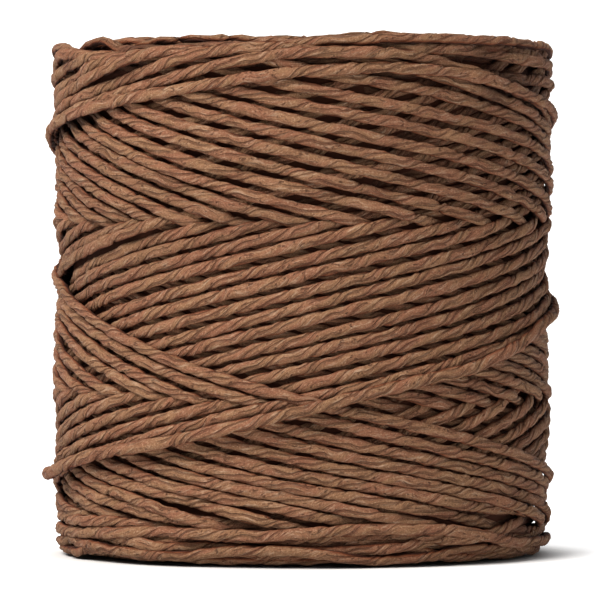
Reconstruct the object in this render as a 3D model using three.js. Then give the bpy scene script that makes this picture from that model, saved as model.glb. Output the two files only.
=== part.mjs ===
// Ball of two-ply paper yarn, cross-wound without a tube, standing on its flat lower end.
// Sizes are in millimetres, +Z is up, and the front of the ball faces -Y.
// The origin is in the middle of the base.
import * as THREE from 'three';

// Driving sizes
const ballHeight = 101;
const holeRadius = 14;          // left by the mandrel that the ball was wound on
const holeRounding = 2;
const baseShoulder = 5;         // rounding where the side meets the base
const topShoulder = 3;
const topDish = 1;              // how far the upper end sinks towards the hole
const yarnThickness = 2.6;

// Radius of the side over the newest turns
const sideOutline = [
  { height: 5, radius: 49.5 },
  { height: 30, radius: 49.7 },
  { height: 52, radius: 49.4 },
  { height: 70, radius: 49.6 },
  { height: 84, radius: 50.3 },
  { height: 98, radius: 50.2 },
];

// The lay of the yarn. It runs down the ball and up again all the time, about a turn and a half
// each way, and each pass lies beside the one before. Three passes make one raised bundle here.
const bundlesInLayer = 8;
const bundleAngle = 360 / bundlesInLayer;
const newestTopTurn = 20;       // where the last pass turned at the top, in degrees right of the front
const grooveDepth = 1.4;        // between two bundles
const layerStep = 1.5;          // from the newest bundle down to the oldest that shows

// How far round the ball a pass has gone at each share of the way down it
const upPass = [
  { down: 0, turned: 0 },
  { down: 0.13, turned: 60 },
  { down: 0.49, turned: 260 },
  { down: 0.68, turned: 320 },
  { down: 0.84, turned: 420 },
  { down: 1, turned: 540 },
];
const downPass = [
  { down: 0, turned: 0 },
  { down: 0.17, turned: 100 },
  { down: 0.52, turned: 300 },
  { down: 0.84, turned: 465 },
  { down: 1, turned: 540 },
];

// Rings left on the upper end where passes turn back
const endRingPitch = 8;
const endRingDepth = 1;

// How finely the surface is divided. The bundles run nearly level, so the steps upwards are the finer.
const stepsAround = 64;
const stepsUpSide = 56;
const stepsInShoulder = 3;
const stepsOnTop = 12;
const stepsOnBase = 2;

// The loose end: the last half turn of yarn, lying over all the others from behind the right side
// down to its cut tip at the left. stand is how far its middle is outside the side's outline.
const looseEndRoute = [
  { angle: 104, height: 51.6, stand: 0.9 },
  { angle: 98, height: 50.8, stand: 0.8 },
  { angle: 92, height: 49.8, stand: 0.8 },
  { angle: 86, height: 48.7, stand: 0.8 },
  { angle: 79, height: 47.6, stand: 0.8 },
  { angle: 72, height: 46.4, stand: 0.8 },
  { angle: 65, height: 44.5, stand: 0.8 },
  { angle: 58, height: 42.3, stand: 0.8 },
  { angle: 49, height: 39.8, stand: 0.8 },
  { angle: 40, height: 37.5, stand: 0.7 },
  { angle: 30, height: 35.8, stand: 0.7 },
  { angle: 20, height: 34.0, stand: 0.8 },
  { angle: 10, height: 31.9, stand: 1.0 },
  { angle: 0, height: 29.7, stand: 1.4 },
  { angle: -10, height: 27.5, stand: 1.6 },
  { angle: -20, height: 25.5, stand: 1.5 },
  { angle: -30, height: 23.7, stand: 1.4 },
  { angle: -40, height: 22.2, stand: 1.3 },
  { angle: -50, height: 21.0, stand: 1.3 },
  { angle: -60, height: 19.4, stand: 1.2 },
  { angle: -69, height: 17.6, stand: 1.2 },
  { angle: -78, height: 16.5, stand: 1.2 },
  { angle: -86, height: 16.0, stand: 1.1 },
];
const looseEndSides = 8;
const looseEndSteps = 52;

const yarnMaterial = new THREE.MeshStandardMaterial({ color: 0x8c6248, roughness: 0.85, metalness: 0 });
const looseEndMaterial = new THREE.MeshStandardMaterial({ color: 0x9a6c50, roughness: 0.85, metalness: 0 });

// Straight-line reading of a table, from one named column to another
function readTable(table, from, to, value) {
  const next = table.findIndex((row) => row[from] > value);
  if (next === 0) return table[0][to];
  if (next < 0) return table[table.length - 1][to];
  const low = table[next - 1];
  const high = table[next];
  const share = (value - low[from]) / (high[from] - low[from]);
  return low[to] + share * (high[to] - low[to]);
}

function wrap(value, length) {
  return ((value % length) + length) % length;
}

function sideRadius(height) {
  return readTable(sideOutline, 'height', 'radius', height);
}

// How far the surface lies under the outline at a place on the side. Of the bundles that run up and
// those that run down, the later one shows, rounded across and lower the older it is.
function sideRelief(angle, height) {
  const down = 1 - height / ballHeight;
  const upAge = (newestTopTurn + readTable(upPass, 'down', 'turned', down) - angle) / bundleAngle;
  const downAge = (newestTopTurn - readTable(downPass, 'down', 'turned', down) - angle) / bundleAngle;
  const age = Math.min(wrap(upAge, bundlesInLayer), wrap(downAge, bundlesInLayer));
  const across = age % 1;
  return grooveDepth * (1 - Math.sin(Math.PI * across)) + layerStep * age / bundlesInLayer;
}

// Soft rings on the upper end, a little off centre as the passes turn back at different places
function endRelief(angle, radius) {
  const wander = Math.sin(THREE.MathUtils.degToRad(2 * angle));
  return endRingDepth * (0.5 + 0.5 * Math.cos(2 * Math.PI * (radius + wander) / endRingPitch));
}

// One row of the section: where it lies, which way it faces, and how much of each relief it carries
function row(radius, height, out, up, sideShare = 0, endShare = 0) {
  return { radius, height, out, up, sideShare, endShare };
}

function shoulderRows(centreRadius, centreHeight, rounding, fromTurn, toTurn) {
  const rows = [];
  for (let i = 0; i <= stepsInShoulder; i++) {
    const turn = THREE.MathUtils.lerp(fromTurn, toTurn, i / stepsInShoulder);
    const out = Math.cos(turn);
    const up = Math.sin(turn);
    const relief = Math.max(0, out) ** 2;
    rows.push(row(centreRadius + rounding * out, centreHeight + rounding * up, out, up, relief, 0));
  }
  return rows;
}

// The closed section of the ball, from the base's hole edge round by the side and the top to the hole
function sectionRows() {
  const rows = [];
  const baseEdge = sideRadius(baseShoulder) - baseShoulder;
  const holeEdge = holeRadius + holeRounding;
  for (let i = 0; i < stepsOnBase; i++) {
    rows.push(row(THREE.MathUtils.lerp(holeEdge, baseEdge, i / stepsOnBase), 0, 0, -1));
  }
  rows.push(...shoulderRows(baseEdge, baseShoulder, baseShoulder, -Math.PI / 2, 0));
  const sideTop = ballHeight - topShoulder;
  for (let i = 1; i < stepsUpSide; i++) {
    const height = THREE.MathUtils.lerp(baseShoulder, sideTop, i / stepsUpSide);
    rows.push(row(sideRadius(height), height, 1, 0, 1, 0));
  }
  const topEdge = sideRadius(sideTop) - topShoulder;
  rows.push(...shoulderRows(topEdge, sideTop, topShoulder, 0, Math.PI / 2));
  for (let i = 1; i <= stepsOnTop; i++) {
    const share = i / stepsOnTop;
    const height = ballHeight - topDish * share ** 2;
    rows.push(row(THREE.MathUtils.lerp(topEdge, holeEdge, share), height, 0, 1, 0, 1));
  }
  rows.push(row(holeRadius, ballHeight - topDish - holeRounding, -1, 0));
  rows.push(row(holeRadius, holeRounding, -1, 0));
  rows.push(rows[0]);
  return rows;
}

// The wound ball: a turned section whose points are then drawn in by the relief of its bundles
function makeWoundBall() {
  const rows = sectionRows();
  const section = rows.map(({ radius, height }) => new THREE.Vector2(radius, height));
  const geometry = new THREE.LatheGeometry(section, stepsAround);
  geometry.rotateX(Math.PI / 2);
  const points = geometry.attributes.position;
  for (let i = 0; i <= stepsAround; i++) {
    const angle = 360 * (i % stepsAround) / stepsAround;
    const turn = THREE.MathUtils.degToRad(angle);
    rows.forEach((at, j) => {
      const relief = at.sideShare * sideRelief(angle, at.height) + at.endShare * endRelief(angle, at.radius);
      const radius = at.radius - at.out * relief;
      const height = at.height - at.up * relief;
      points.setXYZ(i * rows.length + j, radius * Math.sin(turn), -radius * Math.cos(turn), height);
    });
  }
  geometry.computeVertexNormals();
  const ball = new THREE.Mesh(geometry, yarnMaterial);
  ball.name = 'wound_ball';
  return ball;
}

// The loose end: a round section drawn along its route on the side
function makeLooseEnd() {
  const route = looseEndRoute.map(({ angle, height, stand }) => {
    const turn = THREE.MathUtils.degToRad(angle);
    const radius = sideRadius(height) + stand;
    return new THREE.Vector3(radius * Math.sin(turn), -radius * Math.cos(turn), height);
  });
  const circle = [];
  for (let i = 0; i < looseEndSides; i++) {
    const turn = 2 * Math.PI * i / looseEndSides;
    circle.push(new THREE.Vector2(Math.cos(turn), Math.sin(turn)).multiplyScalar(yarnThickness / 2));
  }
  const geometry = new THREE.ExtrudeGeometry(new THREE.Shape(circle), {
    steps: looseEndSteps,
    bevelEnabled: false,
    extrudePath: new THREE.CatmullRomCurve3(route),
  });
  const looseEnd = new THREE.Mesh(geometry, looseEndMaterial);
  looseEnd.name = 'loose_end';
  return looseEnd;
}

const group = new THREE.Group();
group.add(makeWoundBall(), makeLooseEnd());

export default group;
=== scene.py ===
# Ball of twisted paper yarn: crossed turns wound round an open core, and a loose end that lies across them
import math
from functools import partial

import bpy
import numpy as np
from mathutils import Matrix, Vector


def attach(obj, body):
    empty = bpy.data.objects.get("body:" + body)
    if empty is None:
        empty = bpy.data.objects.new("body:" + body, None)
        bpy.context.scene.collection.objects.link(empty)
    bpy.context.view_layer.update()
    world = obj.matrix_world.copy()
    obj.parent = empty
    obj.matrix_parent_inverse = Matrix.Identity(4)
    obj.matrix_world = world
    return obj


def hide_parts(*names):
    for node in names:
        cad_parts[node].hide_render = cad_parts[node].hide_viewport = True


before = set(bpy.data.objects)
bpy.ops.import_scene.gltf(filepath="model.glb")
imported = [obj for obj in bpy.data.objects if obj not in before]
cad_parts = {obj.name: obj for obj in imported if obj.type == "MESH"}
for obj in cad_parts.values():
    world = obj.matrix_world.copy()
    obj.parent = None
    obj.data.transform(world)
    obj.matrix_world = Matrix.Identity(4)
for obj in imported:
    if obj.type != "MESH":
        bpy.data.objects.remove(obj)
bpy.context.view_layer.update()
print("frame loaded")

# Sizes are in millimetres and angles in degrees, and both turn to metres and radians where a mesh is made.
# An angle round the ball is counted from the front, to the right. A place is a distance along the ball's section:
# on the side it is the height above the base, and it runs on over the shoulders and across the two flat ends.

ball = {
    "height": 101,
    "topShoulder": 3,
    "baseShoulder": 5,
    "holeRadius": 14,
    "holeRounding": 2,
    "topDish": 1,
}

sideOutline = [
    {"height": 5, "radius": 49.5},
    {"height": 30, "radius": 49.7},
    {"height": 52, "radius": 49.4},
    {"height": 70, "radius": 49.6},
    {"height": 84, "radius": 50.3},
    {"height": 98, "radius": 50.2},
]


def toLinear(hexColour):
    # sRGB hex to the linear colour that a shader takes
    values = [int(hexColour[i:i + 2], 16) / 255 for i in (1, 3, 5)]
    return [v / 12.92 if v <= 0.04045 else ((v + 0.055) / 1.055) ** 2.4 for v in values] + [1]


def addNode(tree, kind, inputs=(), output=0, **settings):
    # one node with its settings; each input takes a plain value or the output that feeds it
    node = tree.nodes.new(kind)
    for name, value in settings.items():
        setattr(node, name, value)
    for socket, part in inputs.items() if isinstance(inputs, dict) else enumerate(inputs):
        if isinstance(part, bpy.types.NodeSocket):
            tree.links.new(part, node.inputs[socket])
        else:
            node.inputs[socket].default_value = part
    return node if output is None else node.outputs[output]


def onSide(angle, out, height):
    # points from angles to the right of the front, distances from the axis and heights
    a = np.radians(angle)
    return np.stack([out * np.sin(a), -out * np.cos(a), height], axis=-1)


def sideRadius(height):
    heights = [row["height"] for row in sideOutline]
    return np.interp(height, heights, [row["radius"] for row in sideOutline])


def smoothed(values, reach):
    # a soft running average over so many samples to each side
    weights = np.exp(-np.linspace(-2, 2, 2 * reach + 1) ** 2)
    return np.convolve(np.pad(values, reach, mode="edge"), weights / weights.sum(), mode="valid")


def throughPoints(points, step):
    # a smooth curve through the points, in even steps
    p = np.vstack([2 * points[0] - points[1], points, 2 * points[-1] - points[-2]])
    fine = []
    for i in range(1, len(p) - 2):
        t = np.linspace(0, 1, 24, endpoint=False)[:, None]
        a, b, c, d = p[i - 1], p[i], p[i + 1], p[i + 2]
        bend = 2 * b + (c - a) * t + (2 * a - 5 * b + 4 * c - d) * t ** 2 + (3 * b - a - 3 * c + d) * t ** 3
        fine.append(0.5 * bend)
    fine = np.vstack(fine + [p[-2:-1]])
    run = np.concatenate([[0], np.cumsum(np.linalg.norm(np.diff(fine, axis=0), axis=1))])
    marks = np.linspace(0, run[-1], int(run[-1] / step) + 1)
    return np.stack([np.interp(marks, run, fine[:, k]) for k in range(3)], axis=1), marks


yarn = {
    "thickness": 2.6,
    "woundThickness": 2.45,
    "flatness": 0.16,         # pressed flat against the ball by its own tension
    "twistPitch": 17,         # one full turn of the folds round each other
    "creaseDepth": 0.30,      # of the half thickness
    "creaseSharpness": 12,
    "unevenness": 0.10,       # of the thickness
    "foldDepth": 0.26,        # small flats where the paper buckled as it was twisted
    "wander": 8.0,            # radians by which the twist runs ahead or behind
    "lipTurn": 25,            # degrees from a fold to the lip that stands over it
    "lipSharpness": 5.0,
    "lipShare": 0.3,
    "creaseShift": 7.3,       # how far apart in the noise two creases lie
    "faintest": 0.15,         # what is left of a crease where it fades
    "fadeFrom": 0.36,         # in the noise that fades it
    "fadeTo": 0.6,
    "foldsRound": 0.9,        # how fast the small flats change round the section
    "pressShare": 1.4,
    "stray": 4.0,             # noise strays about a quarter from its middle
    "seed": 3.0,
    "step": 1.0,
    "underStep": 1.7,         # of what shows only through gaps
    "sides": 12,
}

# Where round its section the strip's folds meet, in degrees, the same in the mesh and in the finish
foldPlaces = [0, 80, 170, 285]

# How fast each unevenness changes along the yarn, and how far apart it is on different turns
yarnNoise = {
    "wander": {"perMetre": 110.0, "perTone": 80.0},
    "swell": {"perMetre": 170.0, "perTone": 60.0},
    "crease": {"perMetre": 150.0, "perTone": 50.0},
    "folds": {"perMetre": 380.0, "perTone": 90.0},
}


def makeYarnTree():
    # sweeps a folded, twisted section along every chain of edges
    tree = bpy.data.node_groups.new("twistedYarn", "GeometryNodeTree")
    sockets = {}
    for name, kind, direction in (
        ("Chains", "NodeSocketGeometry", "INPUT"),
        ("Thickness", "NodeSocketFloat", "INPUT"),
        ("Twist pitch", "NodeSocketFloat", "INPUT"),
        ("Crease depth", "NodeSocketFloat", "INPUT"),
        ("Crease sharpness", "NodeSocketFloat", "INPUT"),
        ("Unevenness", "NodeSocketFloat", "INPUT"),
        ("Fold depth", "NodeSocketFloat", "INPUT"),
        ("Flatness", "NodeSocketFloat", "INPUT"),
        ("Sides", "NodeSocketInt", "INPUT"),
        ("Seed", "NodeSocketFloat", "INPUT"),
        ("Finish", "NodeSocketMaterial", "INPUT"),
        ("Yarn", "NodeSocketGeometry", "OUTPUT"),
    ):
        sockets[name] = tree.interface.new_socket(name=name, in_out=direction, socket_type=kind).identifier
    add = partial(addNode, tree)
    given = add("NodeGroupInput", output=None).outputs
    made = add("NodeGroupOutput", output=None)
    stored = {}
    for name in ("along", "tone", "swell", "crease", "facing", "outward", "round"):
        kind = "FLOAT_VECTOR" if name in ("outward", "round") else "FLOAT"
        stored[name] = add("GeometryNodeInputNamedAttribute", {"Name": name}, "Attribute", data_type=kind)

    # where on the yarn a point lies, for each unevenness
    spots = {}
    for name, row in yarnNoise.items():
        x = add("ShaderNodeMath", (stored["along"], row["perMetre"]), operation="MULTIPLY")
        spots[name] = x, add("ShaderNodeMath", (stored["tone"], row["perTone"]), operation="MULTIPLY")

    # the line of the yarn, with its twist
    curves = add("GeometryNodeMeshToCurve", {"Mesh": given["Chains"]})
    curves = add("GeometryNodeSetCurveNormal", {"Curve": curves, "Normal": stored["outward"]}, mode="FREE")
    spot = add("ShaderNodeCombineXYZ", (*spots["wander"], given["Seed"]))
    wander = add("ShaderNodeTexNoise", {"Vector": spot, "Scale": 1.0, "Detail": 1.0})
    twist = add("ShaderNodeMath", (stored["along"], given["Twist pitch"]), operation="DIVIDE")
    twist = add("ShaderNodeMath", (twist, -2 * math.pi), operation="MULTIPLY")
    wander = add("ShaderNodeMath", (wander, yarn["wander"]), operation="MULTIPLY")
    twist = add("ShaderNodeMath", (twist, wander), operation="ADD")
    curves = add("GeometryNodeSetCurveTilt", {"Curve": curves, "Tilt": twist})

    # section: a circle that remembers where round itself each point lies
    circle = add("GeometryNodeCurvePrimitiveCircle", {"Radius": 1.0, "Resolution": given["Sides"]}, "Curve")
    place = add("GeometryNodeInputPosition")
    circle = add("GeometryNodeStoreNamedAttribute", {"Geometry": circle, "Name": "round", "Value": place},
                 data_type="FLOAT_VECTOR", domain="POINT")
    half = add("ShaderNodeMath", (given["Thickness"], 0.5), operation="MULTIPLY")
    scaled = add("ShaderNodeVectorMath", {0: place, "Scale": half}, operation="SCALE")
    circle = add("GeometryNodeSetPosition", {"Geometry": circle, "Position": scaled})

    # thickness that comes and goes every few millimetres, as a hand-wide strip of paper twists unevenly
    spot = add("ShaderNodeCombineXYZ", (*spots["swell"], given["Seed"]))
    noise = add("ShaderNodeTexNoise", {"Vector": spot, "Scale": 1.0, "Detail": 2.0, "Roughness": 0.6})
    noise = add("ShaderNodeMath", (noise, 0.5), operation="SUBTRACT")
    reach = add("ShaderNodeMath", (given["Unevenness"], yarn["stray"]), operation="MULTIPLY")
    noise = add("ShaderNodeMath", (noise, reach), operation="MULTIPLY")
    swell = add("ShaderNodeMath", (stored["swell"], noise), operation="ADD")
    tube = add("GeometryNodeCurveToMesh",
               {"Curve": curves, "Profile Curve": circle, "Scale": swell, "Fill Caps": True})

    # creases where the folds meet, each coming and going along the yarn, with one lip standing over the other
    crease = None
    for count, degrees in enumerate(foldPlaces):
        pinch = []
        for turn, sharpness in ((0, given["Crease sharpness"]), (yarn["lipTurn"], yarn["lipSharpness"])):
            line = (math.cos(math.radians(degrees + turn)), math.sin(math.radians(degrees + turn)), 0)
            near = add("ShaderNodeVectorMath", (stored["round"], line), "Value", operation="DOT_PRODUCT")
            near = add("ShaderNodeMath", (near, 0.0), operation="MAXIMUM")
            pinch.append(add("ShaderNodeMath", (near, sharpness), operation="POWER"))
        lip = add("ShaderNodeMath", (pinch[1], yarn["lipShare"]), operation="MULTIPLY")
        pinch = add("ShaderNodeMath", (pinch[0], lip), operation="ADD")
        spot = add("ShaderNodeCombineXYZ", (*spots["crease"], yarn["creaseShift"] * count))
        noise = add("ShaderNodeTexNoise", {"Vector": spot, "Scale": 1.0, "Detail": 1.0})
        strength = add("ShaderNodeMapRange", (noise, yarn["fadeFrom"], yarn["fadeTo"], yarn["faintest"], 1.0))
        pinch = add("ShaderNodeMath", (pinch, strength), operation="MULTIPLY")
        crease = pinch if crease is None else add("ShaderNodeMath", (crease, pinch), operation="ADD")
    normal = add("GeometryNodeInputNormal")
    facing = add("ShaderNodeVectorMath", (normal, stored["outward"]), "Value", operation="DOT_PRODUCT")
    # crease and facing shape the creases and the press, and set where the finish paints shade
    for field, value in (("crease", crease), ("facing", facing)):
        tube = add("GeometryNodeStoreNamedAttribute", {"Geometry": tube, "Name": field, "Value": value},
                   data_type="FLOAT", domain="POINT")

    # small flats and bulges of the folded paper, which follow the twist
    x, y = spots["folds"]
    around = add("ShaderNodeSeparateXYZ", (stored["round"],), None).outputs
    across = [add("ShaderNodeMath", (around[k], yarn["foldsRound"]), operation="MULTIPLY") for k in ("X", "Y")]
    y = add("ShaderNodeMath", (across[0], y), operation="ADD")
    spot = add("ShaderNodeCombineXYZ", (x, y, across[1]))
    noise = add("ShaderNodeTexNoise", {"Vector": spot, "Scale": 1.0, "Detail": 1.0})
    noise = add("ShaderNodeMath", (noise, 0.5), operation="SUBTRACT")
    reach = add("ShaderNodeMath", (given["Thickness"], given["Fold depth"]), operation="MULTIPLY")
    push = add("ShaderNodeMath", (noise, reach), operation="MULTIPLY")
    reach = add("ShaderNodeMath", (half, given["Crease depth"]), operation="MULTIPLY")
    pinch = add("ShaderNodeMath", (stored["crease"], reach), operation="MULTIPLY")
    push = add("ShaderNodeMath", (push, pinch), operation="SUBTRACT")
    pushed = add("ShaderNodeVectorMath", {0: normal, "Scale": push}, operation="SCALE")

    # and the press against the ball
    press = add("ShaderNodeMath", (half, given["Flatness"]), operation="MULTIPLY")
    pressed = add("ShaderNodeMath", (stored["facing"], press), operation="MULTIPLY")
    pressed = add("ShaderNodeMath", (pressed, -yarn["pressShare"]), operation="MULTIPLY")
    pressed = add("ShaderNodeVectorMath", {0: stored["outward"], "Scale": pressed}, operation="SCALE")
    offset = add("ShaderNodeVectorMath", (pushed, pressed), operation="ADD")
    tube = add("GeometryNodeSetPosition", {"Geometry": tube, "Offset": offset})
    tube = add("GeometryNodeSetShadeSmooth", {"Geometry": tube})
    tube = add("GeometryNodeRealizeInstances", {"Geometry": tube})
    tube = add("GeometryNodeSetMaterial", {"Geometry": tube, "Material": given["Finish"]})
    tree.links.new(tube, made.inputs["Yarn"])
    return tree, sockets


# Brown kraft paper, dyed through and twisted while damp: matt, soft at the folds, with dark cracks and streaks,
# and with reddish and greyish patches where the strip's two faces come to the outside. Its seams, the flanks of each
# turn and yarn that lies deep get painted shade.
paperFinish = {
    "tan": "#74543b",
    "red": "#704834",
    "base": "#6e4c37",
    "light": "#9d846e",
    # dark cracks and streaks of the paper, and painted shade in the seams where the folds meet
    "crease": "#351405",
    "under": "#5c2a10",       # painted shade with warm bounce light on the lower flanks, lit by the next turn's warm light
    "deep": "#2a0f04",        # painted deep shade: yarn that lies deep is lit only by its neighbours
    "roughness": 0.88,
    "specular": 0.2,
    "relief": 0.4,            # how deep the fibres, the grain and the cracks may stand
    "reliefStrength": 0.9,
    "cutDepth": 1.2,          # of the cracks and seams, against the fibres and the grain
    "evenness": (0.90, 1.10), # darkest and lightest turn
    "fleck": (0.72, 1.12),    # darkest and lightest grain
}

# The paper's patterns: how big each is, and how many times as long along the twist. Its fibres and grain
# are too fine to show at this size, so that both are drawn as coarse as they need to.
paperPatterns = {
    "patches": {"size": 3.33333, "stretch": 3.0, "detail": 3.0, "roughness": 0.6, "shift": 0},
    "streaks": {"size": 0.56, "stretch": 5.0, "detail": 3.0, "roughness": 0.65, "shift": 13},
    "folds": {"size": 1.6129, "stretch": 3.6, "detail": 1.5, "roughness": 0.45, "distortion": 0.3, "shift": 29},
    "mottle": {"size": 0.76923, "stretch": 1.0, "detail": 2.0, "roughness": 0.5, "shift": 41},
    "grain": {"size": 0.30, "stretch": 1.3, "detail": 2.0, "roughness": 0.75, "shift": 53},
}

# The colours that lie over the red, one after another: by what each shows, from where to where, and how strongly
paperLayers = [
    {"colour": "tan", "by": "patches", "from": 0.38, "to": 0.62, "strength": 1.0},
    {"colour": "base", "by": "mottle", "from": 0.3, "to": 0.75, "strength": 0.5},
    {"colour": "light", "by": "streaks", "from": 0.52, "to": 0.74, "strength": 0.6},
    {"colour": "light", "by": "grain", "from": 0.54, "to": 0.74, "strength": 0.5},
    {"colour": "crease", "by": "streaks", "from": 0.44, "to": 0.30, "strength": 0.35},
    {"colour": "crease", "by": "crack", "strength": 0.55},
    # painted shade in the seams
    {"colour": "crease", "by": "seamGrooveAndPaintedShade", "strength": 0.5},
    # painted shade and warm bounce light on the flanks, and painted deep shade on yarn that lies deep or turns inward
    {"colour": "under", "by": "facing", "from": 0.62, "to": 0.0, "strength": 0.85},
    {"colour": "deep", "by": "buried", "from": 0.8, "to": 3.4, "strength": 0.85},
    {"colour": "deep", "by": "facing", "from": 0.2, "to": -0.3, "strength": 0.9},
]


def makePaperFinish():
    material = bpy.data.materials.new("twistedKraftPaper")
    material.use_nodes = True
    tree = material.node_tree
    tree.nodes.clear()
    add = partial(addNode, tree)
    smooth = {"interpolation_type": "SMOOTHSTEP"}
    field = {name: add("ShaderNodeAttribute", output="Fac", attribute_name=name)
             for name in ("facing", "buried", "along", "tone", "crease")}
    roundVector = add("ShaderNodeAttribute", output="Vector", attribute_name="round")
    around = add("ShaderNodeSeparateXYZ", (roundVector,), None).outputs
    half = yarn["thickness"] / 2

    # each pattern lies on the yarn in millimetres, and is different on every turn
    pattern = {}
    for name, row in paperPatterns.items():
        x = add("ShaderNodeMath", (field["along"], 1000 / row["stretch"]), operation="MULTIPLY")
        y = add("ShaderNodeMath", (around["X"], half), operation="MULTIPLY")
        apart = add("ShaderNodeMath", (field["tone"], 71 + row["shift"]), operation="MULTIPLY")
        y = add("ShaderNodeMath", (y, apart), operation="ADD")
        z = add("ShaderNodeMath", (around["Y"], half), operation="MULTIPLY")
        spot = add("ShaderNodeCombineXYZ", (x, y, z))
        pattern[name] = add("ShaderNodeTexNoise", {
            "Vector": spot, "Scale": 1 / row["size"], "Detail": row["detail"],
            "Roughness": row["roughness"], "Distortion": row.get("distortion", 0.0)})

    # short cracks in the paper
    crack = add("ShaderNodeMath", (pattern["folds"], 0.5), operation="SUBTRACT")
    crack = add("ShaderNodeMath", (crack,), operation="ABSOLUTE")
    crack = add("ShaderNodeMapRange", (crack, 0.030, 0.006, 0.0, 1.0), **smooth)
    broken = add("ShaderNodeMapRange", (pattern["mottle"], 0.50, 0.62, 0.0, 1.0), **smooth)
    crack = add("ShaderNodeMath", (crack, broken), operation="MULTIPLY")

    # the seams where the folds meet get painted shade, dark lines that run round with the twist, darkest where the
    # crease is deep; the same lines cut grooves in the relief
    toCentre = add("ShaderNodeVectorMath", (roundVector,), operation="NORMALIZE")
    seamGrooveAndPaintedShade = None
    for degrees in foldPlaces:
        line = (math.cos(math.radians(degrees)), math.sin(math.radians(degrees)), 0)
        near = add("ShaderNodeVectorMath", (toCentre, line), "Value", operation="DOT_PRODUCT")
        seamGrooveAndPaintedShade = near if seamGrooveAndPaintedShade is None else add("ShaderNodeMath", (seamGrooveAndPaintedShade, near), operation="MAXIMUM")
    seamGrooveAndPaintedShade = add("ShaderNodeMapRange", (seamGrooveAndPaintedShade, 0.955, 0.996, 0.0, 1.0), **smooth)
    deepFold = add("ShaderNodeMapRange", (field["crease"], 0.1, 0.7, 0.0, 1.0), **smooth)
    seamGrooveAndPaintedShade = add("ShaderNodeMath", (seamGrooveAndPaintedShade, deepFold), operation="MULTIPLY")

    # one colour over another; where two marks bring up the same colour, the stronger counts
    marks = {**pattern, **field, "crack": crack, "seamGrooveAndPaintedShade": seamGrooveAndPaintedShade}
    shares = {}
    for row in paperLayers:
        mark, name, strength = marks[row["by"]], row["colour"], row["strength"]
        if "from" in row:
            share = add("ShaderNodeMapRange", (mark, row["from"], row["to"], 0.0, strength), **smooth)
        else:
            share = add("ShaderNodeMath", (mark, strength), operation="MULTIPLY")
        if name in shares:
            share = add("ShaderNodeMath", (shares[name], share), operation="MAXIMUM")
        shares[name] = share
    colour = toLinear(paperFinish["red"])
    for name, share in shares.items():
        over = toLinear(paperFinish[name])
        colour = add("ShaderNodeMix", {0: share, 6: colour, 7: over}, 2, data_type="RGBA", blend_type="MIX")
    value = add("ShaderNodeMapRange", (field["tone"], 0.0, 1.0, *paperFinish["evenness"]), **smooth)
    fleck = add("ShaderNodeMapRange", (pattern["grain"], 0.3, 0.6, *paperFinish["fleck"]), **smooth)
    value = add("ShaderNodeMath", (value, fleck), operation="MULTIPLY")
    colour = add("ShaderNodeHueSaturation", {"Color": colour, "Value": value})

    relief = [add("ShaderNodeMath", (pattern[name], 0.5), operation="MULTIPLY") for name in ("streaks", "grain")]
    relief = add("ShaderNodeMath", relief, operation="ADD")
    cut = add("ShaderNodeMath", (crack, seamGrooveAndPaintedShade), operation="MAXIMUM")
    cut = add("ShaderNodeMath", (cut, paperFinish["cutDepth"]), operation="MULTIPLY")
    relief = add("ShaderNodeMath", (relief, cut), operation="SUBTRACT")
    bump = add("ShaderNodeBump", {
        "Strength": paperFinish["reliefStrength"], "Distance": paperFinish["relief"] / 1000, "Height": relief})
    shader = add("ShaderNodeBsdfPrincipled", {
        "Base Color": colour, "Roughness": paperFinish["roughness"],
        "Specular IOR Level": paperFinish["specular"], "Normal": bump})
    add("ShaderNodeOutputMaterial", {"Surface": shader}, None)
    return material


yarnTree, yarnSockets = makeYarnTree()
paper = makePaperFinish()
print("yarn tree and paper finish made")


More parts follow.
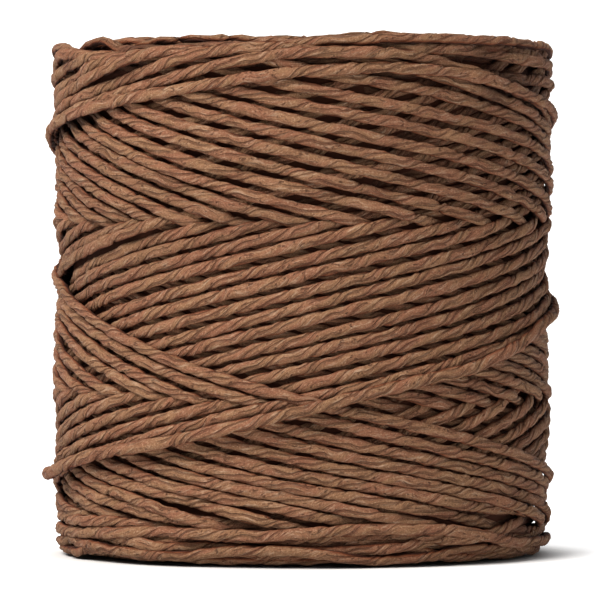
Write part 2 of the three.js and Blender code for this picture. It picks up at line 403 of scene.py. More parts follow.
def spinYarn(name, chains, sides=None, thickness=None, flatness=None):
    # one piece of yarn mesh from chains of points, each with its run along the turn, its outward line and its tone
    lengths = [len(chain["points"]) for chain in chains]
    points = np.concatenate([chain["points"] for chain in chains]) / 1000
    ends = np.cumsum(lengths)
    first = np.setdiff1d(np.arange(len(points)), ends - 1)
    mesh = bpy.data.meshes.new(name)
    mesh.vertices.add(len(points))
    mesh.vertices.foreach_set("co", points.astype(np.float32).ravel())
    mesh.edges.add(len(first))
    mesh.edges.foreach_set("vertices", np.stack([first, first + 1], axis=1).astype(np.int32).ravel())
    fields = {
        "along": [chain["along"] / 1000 for chain in chains],
        "swell": [chain.get("swell", np.ones(length)) for chain, length in zip(chains, lengths)],
        "buried": [chain.get("buried", np.zeros(length)) for chain, length in zip(chains, lengths)],
        "tone": [np.full(length, chain["tone"]) for chain, length in zip(chains, lengths)],
    }
    for field, parts in fields.items():
        values = np.concatenate(parts).astype(np.float32)
        mesh.attributes.new(field, "FLOAT", "POINT").data.foreach_set("value", values)
    outward = np.concatenate([chain["outward"] for chain in chains]).astype(np.float32).ravel()
    mesh.attributes.new("outward", "FLOAT_VECTOR", "POINT").data.foreach_set("vector", outward)
    piece = bpy.data.objects.new(name, mesh)
    bpy.context.scene.collection.objects.link(piece)
    modifier = piece.modifiers.new("yarn", "NODES")
    modifier.node_group = yarnTree
    inputs = {
        "Thickness": (thickness or yarn["woundThickness"]) / 1000,
        "Twist pitch": yarn["twistPitch"] / 1000,
        "Crease depth": yarn["creaseDepth"],
        "Crease sharpness": float(yarn["creaseSharpness"]),
        "Unevenness": yarn["unevenness"],
        "Fold depth": yarn["foldDepth"],
        "Flatness": yarn["flatness"] if flatness is None else flatness,
        "Sides": sides or yarn["sides"],
        "Seed": yarn["seed"],
        "Finish": paper,
    }
    for label, value in inputs.items():
        modifier[yarnSockets[label]] = value
    graph = bpy.context.evaluated_depsgraph_get()
    evaluated = piece.evaluated_get(graph)
    made = bpy.data.meshes.new_from_object(evaluated, preserve_all_data_layers=True, depsgraph=graph)
    piece.modifiers.clear()
    piece.data = made
    made.name = name
    print(name, "chains", len(chains), "triangles", sum(len(p.vertices) - 2 for p in made.polygons))
    return piece


# The loose end's route, the same as the solid's: stand is how far its middle stands off the side's outline
looseEndRoute = [
    {"angle": 104, "height": 51.6, "stand": 0.9},
    {"angle": 98, "height": 50.8, "stand": 0.8},
    {"angle": 92, "height": 49.8, "stand": 0.8},
    {"angle": 86, "height": 48.7, "stand": 0.8},
    {"angle": 79, "height": 47.6, "stand": 0.8},
    {"angle": 72, "height": 46.4, "stand": 0.8},
    {"angle": 65, "height": 44.5, "stand": 0.8},
    {"angle": 58, "height": 42.3, "stand": 0.8},
    {"angle": 49, "height": 39.8, "stand": 0.8},
    {"angle": 40, "height": 37.5, "stand": 0.7},
    {"angle": 30, "height": 35.8, "stand": 0.7},
    {"angle": 20, "height": 34.0, "stand": 0.8},
    {"angle": 10, "height": 31.9, "stand": 1.0},
    {"angle": 0, "height": 29.7, "stand": 1.4},
    {"angle": -10, "height": 27.5, "stand": 1.6},
    {"angle": -20, "height": 25.5, "stand": 1.5},
    {"angle": -30, "height": 23.7, "stand": 1.4},
    {"angle": -40, "height": 22.2, "stand": 1.3},
    {"angle": -50, "height": 21.0, "stand": 1.3},
    {"angle": -60, "height": 19.4, "stand": 1.2},
    {"angle": -69, "height": 17.6, "stand": 1.2},
    {"angle": -78, "height": 16.5, "stand": 1.2},
    {"angle": -86, "height": 16.0, "stand": 1.1},
]

looseEnd = {
    "tone": 0.55,
    "tipSwell": 0.10,         # the cut tip has opened a little
    "tipReach": 1.2,
    "slimmer": 0.12,          # the other end slips into the newest turn
    "slimReach": 1.5,
}


def makeLooseEnd():
    rows = {key: np.array([row[key] for row in looseEndRoute], float) for key in ("angle", "height", "stand")}
    corners = onSide(rows["angle"], sideRadius(rows["height"]) + rows["stand"], rows["height"])
    points, run = throughPoints(corners, yarn["step"])
    outward = points * [1, 1, 0]
    outward /= np.linalg.norm(outward, axis=1)[:, None]
    left = run[-1] - run
    swell = 1 + looseEnd["tipSwell"] * np.exp(-(left / looseEnd["tipReach"]) ** 2)
    swell -= looseEnd["slimmer"] * np.clip(1 - run / looseEnd["slimReach"], 0, 1)
    chain = {"points": points, "along": run, "outward": outward, "tone": looseEnd["tone"], "swell": swell}
    piece = spinYarn("looseEnd", [chain], thickness=yarn["thickness"], flatness=0.0)
    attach(piece, "root")
    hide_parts("loose_end")
    return points, run, outward


loosePoints, looseRun, looseOutward = makeLooseEnd()
print("loose end made, millimetres", round(float(looseRun[-1]), 1))

# How the turns are wound
winding = {
    "passesInLayer": 24,      # double passes, up and down again, each three turns less 15 degrees
    "layers": 3,
    "downSpan": 540,
    "newestTopTurn": 20,
    "topEase": 30,            # degrees over which a pass bends into its turn
    "baseEase": 34,
    "topTurn": 100.2,
    "baseTurn": 4,
    "stay": 360,              # degrees that some passes stay level at a rim before they turn back
    "stayDrift": 0.8,
    "topReach": 6,            # how far from a rim the turns push each other apart
    "newestTopReach": 14,
    "baseReach": 5,
    "closerAtBase": 0.18,     # the passes come down to the base at this much less slope
    "closerBelow": 0.24,      # share of the way up where that starts
    "closerOver": 0.08,
    "steeperAbove": 0.14,     # and above which they may run steeper
    "ageFade": 1.5,
    "perDegree": 0.87,        # millimetres round the ball
    "join": 200,              # samples over which a pass leaves the height of the one before
    "sample": 0.5,
    "seed": 11,
}

# Where the passes run steeper than elsewhere, and over which ages, counted back from the newest
steeperPlaces = {
    "up": [{"angle": -50, "width": 38, "more": 0.75, "fromAge": -5, "toAge": 60}],
    "down": [{"angle": 42, "width": 38, "more": 0.9, "fromAge": 16.5, "toAge": 26}],
}

# The newest pass down, from its turn at the top rim to where the loose end begins
newestPass = [
    {"turned": 0, "height": 94.4},
    {"turned": 10, "height": 94.0},
    {"turned": 20, "height": 93.4},
    {"turned": 30, "height": 92.5},
    {"turned": 40, "height": 91.3},
    {"turned": 60, "height": 89.1},
    {"turned": 80, "height": 86.9},
    {"turned": 98, "height": 84.9},
    {"turned": 276, "height": 51.6},
]

topTurnHeights = [94.4, 97.0, 97.7, 97.6, 97.2, 97.4, 98.5, 101.0]    # of the newest few, one for each age

# How far from its usual height a pass turns: a lowest value and a range, which the ages share out evenly
turnSpread = {
    "top": {"from": -3, "range": 5.6},
    "topStay": {"from": -6.5, "range": 7.5},
    "baseNewer": {"from": -3.5, "range": 5.0},
    "baseOlder": {"from": -6.0, "range": 8.0},
    "baseStay": {"from": -5, "range": 9.5},
}

# The slow side to side wander of a turn: waves in one turn of the ball, and how wide
turnWaves = [{"cycles": 1.3, "width": 0.2}, {"cycles": 2.7, "width": 0.12}, {"cycles": 6.1, "width": 0.08}]


def sectionTable():
    # the section from the hole's edge under the base, out and up the side, to the hole's edge on top
    baseRound, topRound = ball["baseShoulder"], ball["topShoulder"]
    sideBase, sideTop = baseRound, ball["height"] - topRound
    holeEdge = ball["holeRadius"] + ball["holeRounding"]
    baseRim = float(sideRadius(sideBase)) - baseRound
    topRim = float(sideRadius(sideTop)) - topRound
    rows = []
    for distance in np.arange(baseRim - holeEdge, 0, -0.5):
        rows.append((sideBase - baseRound * math.pi / 2 - distance, baseRim - distance, 0, 0, -1))
    for t in np.linspace(-math.pi / 2, 0, 16)[:-1]:
        radius, height = baseRim + baseRound * math.cos(t), baseRound * (1 + math.sin(t))
        rows.append((sideBase + t * baseRound, radius, height, math.cos(t), math.sin(t)))
    for height in np.linspace(sideBase, sideTop, 120):
        rows.append((height, sideRadius(height), height, 1, 0))
    for t in np.linspace(0, math.pi / 2, 12)[1:]:
        radius, height = topRim + topRound * math.cos(t), sideTop + topRound * math.sin(t)
        rows.append((sideTop + t * topRound, radius, height, math.cos(t), math.sin(t)))
    for distance in np.arange(0.5, topRim - holeEdge + 0.5, 0.5):
        dish = ball["topDish"] * (distance / (topRim - holeEdge)) ** 2
        place = sideTop + topRound * math.pi / 2 + distance
        rows.append((place, topRim - distance, ball["height"] - dish, 0, 1))
    table = np.array(rows, float)
    return {name: table[:, k] for k, name in enumerate(("place", "radius", "height", "out", "up"))}


section = sectionTable()


def steepness(angles, family, age, share):
    # how much steeper than its mean slope a pass of this age runs at each angle
    more = np.ones_like(angles)
    above, soft = winding["steeperAbove"], winding["ageFade"]
    for spot in steeperPlaces[family]:
        fade = 1 / (1 + math.exp(-(age - spot["fromAge"]) * soft)) / (1 + math.exp((age - spot["toAge"]) * soft))
        away = (angles - spot["angle"] + 180) % 360 - 180
        here = fade * spot["more"] * np.exp(-(away / spot["width"]) ** 2)
        more += here * np.clip((share - above) / above, 0, 1)
    low = np.clip((winding["closerBelow"] - share) / winding["closerOver"], 0, 1)
    return more * (1 - winding["closerAtBase"] * low)


def passPath(startAngle, span, fromPlace, toPlace, family, age, spread, reach, stays):
    # one pass from rim to rim: it stays level at a rim, bends into its slope and out of it, and runs straight between
    total = span + stays[0] + stays[1]
    turned = np.linspace(0, total, int(total * winding["perDegree"] / winding["sample"]) + 1)
    angles = startAngle + stays[0] - turned
    core = np.clip(turned - stays[0], 0, span)
    share = core / span if family == "up" else 1 - core / span
    more = steepness(angles, family, age, share)
    run = np.concatenate([[0], np.cumsum((more[1:] + more[:-1]) / 2 * np.diff(core))])
    run *= span / run[-1]
    first, last = winding["topEase"], winding["baseEase"]
    if family == "up":
        first, last = last, first
    slope = 1 / (span - (first + last) / 2)
    easeIn = slope * run ** 2 / (2 * first)
    easeOut = 1 - slope * (span - run) ** 2 / (2 * last)
    middle = slope * (run - first / 2)
    share = np.where(run < first, easeIn, np.where(run > span - last, easeOut, middle))
    place = fromPlace + (toPlace - fromPlace) * share
    # near the rims the turns push each other apart
    pushedFirst = spread[0] * np.exp(-(np.abs(place - fromPlace) / reach[0]) ** 2)
    pushedLast = spread[1] * np.exp(-(np.abs(place - toPlace) / reach[1]) ** 2)
    place = place + pushedFirst + pushedLast
    waiting = np.abs(turned - stays[0] - core) / 180
    return angles, place - winding["stayDrift"] * np.sin(waiting * math.pi * 1.5)


# The turns on a flat end are short arcs, ring outside ring
endArcs = {
    "pitch": 2.45,
    "length": 95,
    "overlap": (35, 60),      # degrees
    "drift": 0.9,
    "shift": 0.35,
    "diveRun": 14,            # over which an arc dives between its neighbours
    "dive": 3.2,
    "fromHole": 1.2,
    "fromTopRim": 2.0,
    "fromBaseRim": 1.0,
}


def faceTurns(fromPlace, toPlace, random):
    turns = []
    for place in np.arange(fromPlace, toPlace, math.copysign(endArcs["pitch"], toPlace - fromPlace)):
        radius = float(np.interp(place, section["place"], section["radius"]))
        arcs = max(3, round(2 * math.pi * radius / endArcs["length"]))
        offset = random.uniform(0, 360)
        for k in range(arcs):
            span = 360 / arcs + random.uniform(*endArcs["overlap"])
            samples = int(math.radians(span) * radius / winding["sample"])
            share = np.linspace(0, 1, samples)
            angles = offset + 360 * k / arcs - span * share
            drift = random.uniform(-endArcs["drift"], endArcs["drift"]) * (share - 0.5) * 2
            drift = drift + random.uniform(-endArcs["shift"], endArcs["shift"])
            fromEnd = np.minimum(share, 1 - share) * math.radians(span) * radius
            sink = endArcs["dive"] * np.clip(1 - fromEnd / endArcs["diveRun"], 0, 1) ** 2
            turns.append({"family": "face", "age": 60, "angle": angles, "place": place + drift, "sink": sink})
    return turns


def spreadAt(name, count):
    # the golden ratio shares out the heights, so that neighbours turn at different ones
    return turnSpread[name]["from"] + turnSpread[name]["range"] * (count % 1)


def makeTurns():
    random = np.random.default_rng(winding["seed"])
    places = section["place"]
    topEdge = ball["height"] - ball["topShoulder"] + ball["topShoulder"] * math.pi / 2
    baseEdge = ball["baseShoulder"] * (1 - math.pi / 2)
    turns = faceTurns(places[-1] - endArcs["fromHole"], topEdge + endArcs["fromTopRim"], random)
    turns += faceTurns(places[0] + endArcs["fromHole"], baseEdge - endArcs["fromBaseRim"], random)
    stepBack = 360 / winding["passesInLayer"]
    downSpan = winding["downSpan"]
    upSpan = 1080 - stepBack - downSpan
    top, low = winding["topTurn"], winding["baseTurn"]
    lowSpread, baseStay = 0, 0
    wound = []
    for age in range(int(winding["passesInLayer"] * winding["layers"]), -1, -1):
        topTurn = winding["newestTopTurn"] - stepBack * age
        few = age < len(topTurnHeights)
        topStay = winding["stay"] if age % 3 == 0 and not few else 0
        reach = winding["baseReach"], winding["newestTopReach"] if few else winding["topReach"]
        if few:
            topSpread = topTurnHeights[age] - top
        elif topStay:
            topSpread = spreadAt("topStay", 0.618 * age / 3)
        else:
            topSpread = spreadAt("top", 0.618 * age)
        spread, stays = (lowSpread, topSpread), (baseStay / 2, topStay / 2)
        angles, place = passPath(topTurn + upSpan, upSpan, low, top, "up", age, spread, reach, stays)
        wound.append({"family": "up", "age": age, "angle": angles, "place": place})
        if age:
            baseStay = winding["stay"] if age % 2 == 0 else 0
            if baseStay:
                lowSpread = spreadAt("baseStay", 0.618 * age / 2)
            else:
                newer = age < winding["passesInLayer"]
                lowSpread = spreadAt("baseNewer" if newer else "baseOlder", 0.618 * age + 0.37)
            spread, stays = (topSpread, lowSpread), (topStay / 2, baseStay / 2)
            angles, place = passPath(topTurn, downSpan, top, low, "down", age, spread, reach[::-1], stays)
            wound.append({"family": "down", "age": age, "angle": angles, "place": place})
    turned = np.arange(0, newestPass[-1]["turned"], winding["sample"] / winding["perDegree"])
    place = np.interp(turned, [row["turned"] for row in newestPass], [row["height"] for row in newestPass])
    angles = winding["newestTopTurn"] - turned
    wound.append({"family": "down", "age": 0, "angle": angles, "place": smoothed(place, 15)})
    for number, turn in enumerate(wound):
        wave = 0
        for row in turnWaves:
            wave = wave + row["width"] * np.sin(np.radians(row["cycles"] * turn["angle"]) + random.uniform(0, 6.28))
        if turn["age"]:
            turn["place"] = turn["place"] + wave
        if number:
            # each pass starts where the one before it ended
            count = min(winding["join"], len(turn["place"]))
            step = wound[number - 1]["place"][-1] - turn["place"][0]
            turn["place"][:count] += step * (1 - np.linspace(0, 1, count)) ** 2
    turns += wound
    for turn in turns:
        turn["tone"] = float(random.uniform(0, 1))
    return turns


# How the turns settle on each other
settling = {
    "cell": 0.4,
    "bed": 12,                # how far down the map starts
    "faceBed": 2.6,
    "press": 0.6,             # how far yarn sinks into yarn
    "slip": 1.5,              # how far a turn may slip sideways into a hollow
    "slipStep": 0.3,
    "reach": 4.5,
    "blend": 30,              # samples over which two passes meet
}

# How well a turn holds its place against slipping
gripRows = [
    {"place": 6, "grip": 0.12},
    {"place": 24, "grip": 2.0},
    {"place": 80, "grip": 2.0},
    {"place": 94, "grip": 0.3},
]


def softMap(field, reach):
    # the map's broad swells, with the turn round the ball closed on itself
    pad = int(3 * reach)
    tall = np.pad(field, ((pad, pad), (0, 0)), mode="reflect")
    rowWaves = np.fft.fftfreq(tall.shape[0])[:, None]
    columnWaves = np.fft.fftfreq(tall.shape[1])[None, :]
    keep = np.exp(-2 * (math.pi * reach) ** 2 * (rowWaves ** 2 + columnWaves ** 2))
    return np.fft.ifft2(np.fft.fft2(tall) * keep).real[pad:-pad]


def softTop(field, reach):
    # a soft cover drawn over the map's crowns
    return np.log(softMap(np.exp(2 * field), reach).clip(1e-12)) / 2


def layTurns(turns):
    # lays the turns one after another over a map of how high the yarn has built up so far
    cell, half = settling["cell"], yarn["woundThickness"] / 2
    lowest, highest = section["place"][0], section["place"][-1]
    rows, columns = int((highest - lowest) / cell) + 1, int(2 * math.pi * 50 / cell)
    rowPlace = lowest + (np.arange(rows) + 0.5) * cell
    onFace = np.interp(rowPlace, [-5, -1, 102, 105], [1, 0, 0, 1])
    sideRows = (rowPlace > 5) & (rowPlace < 98)
    start = -settling["bed"] * (1 - onFace) - settling["faceBed"] * onFace
    built = np.repeat(start[:, None], columns, axis=1)
    owner = np.full((rows, columns), -1)
    settled = np.zeros((rows, columns))
    across = np.linspace(-half * 0.95, half * 0.95, 9)
    wide = np.linspace(-half * 0.98, half * 0.98, 15)
    shifts = np.arange(-settling["slip"], settling["slip"] + 0.01, settling["slipStep"])

    def cellsAt(turn, off):
        angle = np.radians(turn["angle"])[:, None] - turn["rise"][:, None] * off / turn["radius"][:, None]
        place = turn["place"][:, None] + turn["run"][:, None] * off
        column = np.floor((angle / (2 * math.pi) % 1) * columns).astype(int) % columns
        return np.clip(((place - lowest) / cell).astype(int), 0, rows - 1), column

    def contactAt(turn, shift):
        off = across + np.broadcast_to(shift, turn["angle"].shape)[:, None]
        row, column = cellsAt(turn, off)
        return (built[row, column] + np.sqrt(half ** 2 - across ** 2)).max(axis=1) - settling["press"]

    for index, turn in enumerate(turns):
        turn["radius"] = np.interp(turn["place"], section["place"], section["radius"])
        step = np.hypot(np.radians(np.gradient(turn["angle"])) * turn["radius"], np.gradient(turn["place"]))
        turn["run"] = np.radians(np.gradient(turn["angle"])) * turn["radius"] / step
        turn["rise"] = np.gradient(turn["place"]) / step
        if turn["age"]:
            # yarn under tension slips sideways into the nearest hollow
            grip = np.interp(turn["place"], [row["place"] for row in gripRows], [row["grip"] for row in gripRows])
            costs = np.stack([smoothed(contactAt(turn, shift), 30) + grip * shift ** 2 for shift in shifts])
            slip = smoothed(shifts[costs.argmin(axis=0)], 40)
            if turn["family"] != "face":
                # both ends stay joined
                sample = np.arange(len(slip))
                slip = slip * np.clip(np.minimum(sample, sample[::-1]) / 40, 0, 1)
            turn["angle"] = turn["angle"] - np.degrees(turn["rise"] * slip / turn["radius"])
            turn["place"] = turn["place"] + turn["run"] * slip
            turn["radius"] = np.interp(turn["place"], section["place"], section["radius"])
        contact = contactAt(turn, 0)
        lift = np.maximum(smoothed(contact, 10), contact - 0.25)
        lift = smoothed(lift, 10) - turn.get("sink", 0)
        row, column = cellsAt(turn, wide[None, :])
        top = (lift[:, None] + np.sqrt(half ** 2 - wide ** 2)).ravel()
        flat = (row * columns + column).ravel()
        order = np.argsort(top)
        flat, top = flat[order], top[order]
        higher = top > built.ravel()[flat]
        built.ravel()[flat[higher]] = top[higher]
        owner.ravel()[flat[higher]] = index
        turn["lift"] = lift + settled[row[:, 7], column[:, 7]]
        level = built.mean(axis=1)
        if turn["family"] == "face":
            faceLevel = level
            continue
        # where turns crowd, as at the rims, the ones below are pressed down, so that the surface stays level
        aim = level[sideRows].mean() * (1 - onFace) + faceLevel * onFace
        excess = np.repeat(smoothed(level - aim, 3)[:, None], columns, axis=1)
        if turn["family"] == "up":
            broad = softMap(built - excess, settling["reach"] / cell)
            excess = excess + (broad - broad.mean(axis=1)[:, None]) * (1 - onFace)[:, None]
        built -= excess
        settled += excess
    for turn in turns:
        row, column = cellsAt(turn, np.zeros((1, 1)))
        turn["lift"] = smoothed(turn["lift"] - settled[row[:, 0], column[:, 0]], 6)
    wound = [turn for turn in turns if turn["family"] != "face"]
    blend = settling["blend"]
    fade = 0.5 * np.clip(1 - np.arange(blend) / blend, 0, 1) ** 2
    for before, turn in zip(wound[:-1], wound[1:]):
        gap = turn["lift"][0] - before["lift"][-1]
        before["lift"][-blend:] += gap * fade[::-1]
        turn["lift"][:blend] -= gap * fade
    return built, owner, cellsAt


# What of the turns is made as yarn, and how it starts and ends
showing = {
    "crown": 0.62,            # crowns stand this much over the average
    "levelReach": 6,
    "coverReach": 1.6,
    "standsOff": 0.8,         # past this, most of what stands off the ball is taken back
    "takenBack": 0.65,
    "upToLooseEnd": 20,       # millimetres over which the newest turn comes up to where the loose end starts
    "overBall": 0.9,
    "hidden": 15,             # samples that a stretch runs on after it is covered
    "shortest": 12,
    "lap": 8,                 # samples by which two lengths of one yarn slip into each other
    "slimmer": 0.25,
    "diveRun": 5,             # cut stretches dive out of sight
    "diveTaper": 0.45,
    "dive": 0.9,
    "shift": 37,
}


def placeTurn(index, turn, last, built, owner, cellsAt, broad, crowns):
    # where the turn runs, what of it shows and how deep it lies
    half = yarn["woundThickness"] / 2
    across = np.linspace(-half * 0.95, half * 0.95, 7)
    row, column = cellsAt(turn, across[None, :])
    seen = (owner[row, column] == index).any(axis=1)
    middle = row[:, 3], column[:, 3]
    # how deep the yarn lies under the crowns, which the finish paints as deep shade
    turn["buried"] = np.clip(smoothed(crowns[middle] - turn["lift"] - half, 4), 0, 6)
    lift = turn["lift"] - smoothed(broad[middle], 6)
    lift = lift - showing["takenBack"] * np.maximum(lift + half - showing["standsOff"], 0)
    if last:
        near = np.arange(len(lift))[::-1] * winding["sample"] / showing["upToLooseEnd"]
        near = np.clip(1 - near, 0, 1)
        near = near * near * (3 - 2 * near)
        lift = lift * (1 - near) + looseEndRoute[0]["stand"] * near
        seen[-20:] = True
    normal = [np.interp(turn["place"], section["place"], section[name]) for name in ("out", "up")]
    size = np.hypot(*normal)
    out, up = normal[0] / size, normal[1] / size
    radius = np.interp(turn["place"], section["place"], section["radius"]) + lift * out
    height = np.interp(turn["place"], section["place"], section["height"]) + lift * up
    height = np.maximum(height, half)
    height = np.minimum(height, ball["height"] - half + showing["overBall"])
    turn["points"] = onSide(turn["angle"], radius, height)
    turn["outward"] = onSide(turn["angle"], out, up)
    turn["seen"] = seen


def visibleChains(turns):
    # the stretches of every turn that show, or lie just under what shows, as chains of points for the yarn tree
    built, owner, cellsAt = layTurns(turns)
    broad = softMap(built, showing["levelReach"] / settling["cell"]) + showing["crown"]
    crowns = softTop(built, showing["coverReach"] / settling["cell"])
    for index, turn in enumerate(turns):
        placeTurn(index, turn, turn is turns[-1], built, owner, cellsAt, broad, crowns)

    # the passes are one long yarn, so that a stretch runs on from one pass into the next
    groups = [[turn] for turn in turns if turn["family"] == "face"]
    groups.append([turn for turn in turns if turn["family"] != "face"])
    random = np.random.default_rng(winding["seed"])
    hidden, lap = showing["hidden"], showing["lap"]
    chains = []
    for group in groups:
        names = ("points", "outward", "buried", "seen")
        every = {name: np.concatenate([turn[name] for turn in group]) for name in names}
        owned = np.concatenate([np.full(len(turn["seen"]), number) for number, turn in enumerate(group)])
        seen = np.convolve(every["seen"], np.ones(2 * hidden + 1), mode="same") > 0
        run = np.concatenate([[0], np.cumsum(np.linalg.norm(np.diff(every["points"], axis=0), axis=1))])
        edges = np.flatnonzero(np.diff(np.concatenate([[0], seen.astype(int), [0]])))
        for start, end in zip(edges[::2], edges[1::2]):
            if end - start < showing["shortest"]:
                continue
            newest = group[-1] is turns[-1] and end == len(seen)
            tone = looseEnd["tone"] if newest else float(random.uniform(0, 1))
            left = run - run[start] if newest else np.minimum(run - run[start], run[end - 1] - run)
            dive = np.clip(1 - left / showing["diveRun"], 0, 1) ** 2
            for number in range(owned[start], owned[end - 1] + 1):
                mine = np.flatnonzero(owned == number)
                low, high = max(start, mine[0] - lap), min(end, mine[-1] + 1 + lap)
                turn = group[number]
                step = yarn["underStep"] if turn["age"] >= winding["passesInLayer"] - 1 else yarn["step"]
                count = max(2, int((run[high - 1] - run[low]) / step) + 1)
                pick = np.linspace(low, high - 1, count).round().astype(int)
                swell = 1 - showing["diveTaper"] * dive[pick]
                if low > start:
                    swell -= showing["slimmer"] * np.clip((mine[0] - pick) / lap, 0, 1)
                if high < end:
                    swell -= showing["slimmer"] * np.clip((pick - mine[-1]) / lap, 0, 1)
                if newest and high == end:
                    swell[-4:] = yarn["thickness"] / yarn["woundThickness"]
                origin = run[end - 1] if newest else run[start] - showing["shift"] * random.uniform(0, 1)
                outward = every["outward"][pick]
                points = every["points"][pick] - outward * dive[pick, None] * showing["dive"]
                chain = {"points": points, "outward": outward, "along": run[pick] - origin, "swell": swell,
                         "buried": every["buried"][pick]}
                if newest and high == end:
                    # the newest turn runs a little way into the loose end, so that no joint shows
                    slimming = swell[-1] - showing["slimmer"] * np.arange(1, 4) / 3
                    more = {"points": loosePoints[1:4], "outward": looseOutward[1:4], "along": looseRun[1:4],
                            "swell": slimming, "buried": np.zeros(3)}
                    chain = {name: np.concatenate([chain[name], more[name]]) for name in chain}
                chains.append({**chain, "tone": tone, "family": turn["family"], "age": turn["age"]})
    return chains


turns = makeTurns()
chains = visibleChains(turns)
print("turns laid", len(turns), "chains", len(chains))

turnPieces = [
    {"name": "risingTurnsNewest", "family": "down", "from": 0, "to": 11, "sides": 12},
    {"name": "risingTurns", "family": "down", "from": 12, "to": 22, "sides": 12},
    {"name": "risingTurnsUnder", "family": "down", "from": 23, "to": 99, "sides": 8},
    {"name": "fallingTurnsNewest", "family": "up", "from": 0, "to": 11, "sides": 12},
    {"name": "fallingTurns", "family": "up", "from": 12, "to": 22, "sides": 12},
    {"name": "fallingTurnsUnder", "family": "up", "from": 23, "to": 99, "sides": 8},
    {"name": "endTurns", "family": "face", "from": 0, "to": 99, "sides": 10},
]
for number, row in enumerate(turnPieces):
    own = [c for c in chains if c["family"] == row["family"] and row["from"] <= c["age"] <= row["to"]]
    piece = spinYarn(row["name"], own, sides=row["sides"])
    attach(piece, "root")
    if number == 0:
        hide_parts("wound_ball")

# Nearly level turns that line the hole
holeTurns = {"turns": 36, "step": 6, "from": 1.3, "belowTop": 2.6, "wander": 0.5, "seed": 5, "tone": 0.4, "sides": 8}


def makeHoleTurns():
    angles = np.arange(0, 360 * holeTurns["turns"], holeTurns["step"])
    height = np.linspace(holeTurns["from"], ball["height"] - holeTurns["belowTop"], len(angles))
    random = np.random.default_rng(holeTurns["seed"])
    wander = smoothed(random.uniform(-holeTurns["wander"], holeTurns["wander"], len(angles)), 6)
    points = onSide(angles, ball["holeRadius"] + yarn["thickness"] / 2 + wander, height)
    outward = -onSide(angles, np.ones(len(angles)), np.zeros(len(angles)))
    along = np.concatenate([[0], np.cumsum(np.linalg.norm(np.diff(points, axis=0), axis=1))])
    return {"points": points, "outward": outward, "along": along, "tone": holeTurns["tone"]}


piece = spinYarn("holeTurns", [makeHoleTurns()], sides=holeTurns["sides"])
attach(piece, "root")

# The closed wound body under the turns, which the finish paints with deep shade, so that it shows only as shade
# between them
innerBody = {
    "inset": 4.2,
    "sideInset": 3.4,
    "holeWall": 2.6,
    "around": 96,
    "ripple": 0.25,
    "ripples": 24,
    # at this depth the finish paints it with its full deep shade
    "buried": 4,              # how deep it counts as lying in the finish
}


def makeInnerBody():
    inset, sideInset, around = innerBody["inset"], innerBody["sideInset"], innerBody["around"]
    keep = np.flatnonzero((section["place"] > 4) & (section["place"] < 99))
    hole = ball["holeRadius"] + innerBody["holeWall"]
    topInset = ball["height"] - inset
    rows = [(hole, inset), (section["radius"][keep[0]] - sideInset - 2, inset)]
    rows += [(section["radius"][k] - sideInset, section["height"][k]) for k in keep[3:-3:8]]
    rows += [(section["radius"][keep[-1]] - sideInset - 1, topInset), (hole, topInset - ball["topDish"])]
    angles = np.arange(around) * 360 / around
    points = []
    for radius, height in rows:
        ripple = innerBody["ripple"] * np.sin(np.radians(angles * innerBody["ripples"] + height * 40))
        points.append(onSide(angles, np.full(around, radius) + ripple, np.full(around, height)))
    points = np.concatenate(points)
    faces = []
    for k in range(len(rows)):
        here, above = k * around, (k + 1) % len(rows) * around
        for a in range(around):
            b = (a + 1) % around
            faces.append((here + a, here + b, above + b, above + a))
    mesh = bpy.data.meshes.new("innerTurns")
    mesh.from_pydata((points / 1000).tolist(), [], faces)
    buried = np.full(len(points), innerBody["buried"], np.float32)
    mesh.attributes.new("buried", "FLOAT", "POINT").data.foreach_set("value", buried)
    mesh.materials.append(paper)
    body = bpy.data.objects.new("innerTurns", mesh)
    bpy.context.scene.collection.objects.link(body)
    return body


piece = makeInnerBody()
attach(piece, "root")
print("hole and inner body made")

# The camera stands level with the middle of the ball, as in the photograph
camera = {"distance": 833, "height": 50.5, "aside": -0.4, "lens": 249.9, "sensor": 36}


def placeCamera():
    data = bpy.data.cameras.new("camera")
    data.lens, data.sensor_width = camera["lens"], camera["sensor"]
    viewer = bpy.data.objects.new("camera", data)
    viewer.location = (camera["aside"] / 1000, -camera["distance"] / 1000, camera["height"] / 1000)
    viewer.rotation_euler = (math.radians(90), 0, 0)
    bpy.context.scene.collection.objects.link(viewer)
    bpy.context.scene.camera = viewer


placeCamera()

# Sizes in metres, from here on
studio = {
    "ground": "#c8c8c8",
    "floorGlow": 0.8,
    "wallGlow": 0.8,
    "glowFrom": 0.046,        # from the ball's axis: the glow fades towards the foot, so that its foot keeps a dark line and a short shadow, partly painted contact shadow
    "glowTo": 0.062,
    "world": 0.14,
    "lamps": [
        {"name": "key", "place": (-0.6, -0.66, 1.0), "size": 0.9, "power": 34.5, "colour": "#fffaf4"},
        {"name": "fill", "place": (0.3, -1.1, 0.2), "size": 0.9, "power": 3.2, "colour": "#ffffff"},
    ],
}


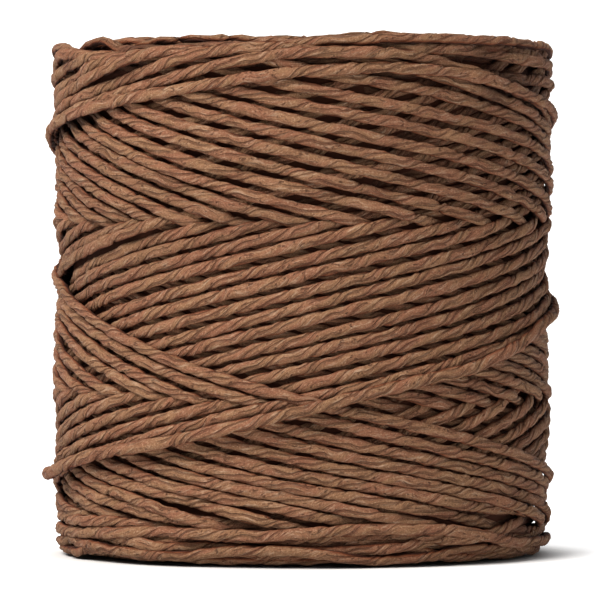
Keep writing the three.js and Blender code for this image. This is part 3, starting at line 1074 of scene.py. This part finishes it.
def makeGround():
    # a pale sweep: floor, a wide bend and a wall behind
    profile = [(-1.6, 0), (0.9, 0)]
    bends = np.linspace(0, math.pi / 2, 12)[1:]
    profile += [(0.9 + 0.5 * math.sin(t), 0.5 - 0.5 * math.cos(t)) for t in bends]
    profile += [(1.4, 2.2)]
    points = [(x, y, z - 0.0002) for x in (-2.2, 2.2) for y, z in profile]
    count = len(profile)
    faces = [(k, count + k, count + k + 1, k + 1) for k in range(count - 1)]
    mesh = bpy.data.meshes.new("ground")
    mesh.from_pydata(points, [], faces)
    # smooth white backdrop paper: matt, with no gloss, and with a glow that keeps it even behind the ball; the glow
    # fades near the ball's foot, painted contact shadow
    material = bpy.data.materials.new("whiteBackdropPaper")
    material.use_nodes = True
    add = partial(addNode, material.node_tree)
    shader = material.node_tree.nodes["Principled BSDF"].inputs
    shader["Base Color"].default_value = toLinear(studio["ground"])
    shader["Roughness"].default_value = 0.95
    shader["Specular IOR Level"].default_value = 0.0
    shader["Emission Color"].default_value = (1, 1, 1, 1)
    spot = add("ShaderNodeTexCoord", output="Object")
    depth = add("ShaderNodeSeparateXYZ", (spot,), "Y")
    away = add("ShaderNodeVectorMath", (spot,), "Value", operation="LENGTH")
    # no glow near the foot: painted contact shadow round the ball, on top of the real shadow there
    near = add("ShaderNodeMapRange", (away, studio["glowFrom"], studio["glowTo"], 0.0, 1.0),
               interpolation_type="SMOOTHSTEP")
    glow = add("ShaderNodeMapRange", (depth, 0.15, 0.9, studio["floorGlow"], studio["wallGlow"]))
    glow = add("ShaderNodeMath", (glow, near), operation="MULTIPLY")
    material.node_tree.links.new(glow, shader["Emission Strength"])
    mesh.materials.append(material)
    ground = bpy.data.objects.new("ground", mesh)
    bpy.context.scene.collection.objects.link(ground)


def makeLights():
    for row in studio["lamps"]:
        data = bpy.data.lights.new(row["name"], "AREA")
        data.shape, data.size, data.energy = "DISK", row["size"], row["power"]
        data.color = toLinear(row["colour"])[:3]
        lamp = bpy.data.objects.new(row["name"], data)
        lamp.location = row["place"]
        aim = Vector((0, 0, ball["height"] / 2000)) - lamp.location
        lamp.rotation_euler = aim.to_track_quat("-Z", "Y").to_euler()
        bpy.context.scene.collection.objects.link(lamp)
    world = bpy.data.worlds.new("studio")
    world.use_nodes = True
    world.node_tree.nodes["Background"].inputs["Color"].default_value = (1, 1, 1, 1)
    world.node_tree.nodes["Background"].inputs["Strength"].default_value = studio["world"]
    bpy.context.scene.world = world
    bpy.context.scene.view_settings.view_transform = "Standard"


makeGround()
makeLights()
print("camera, ground and lights placed")
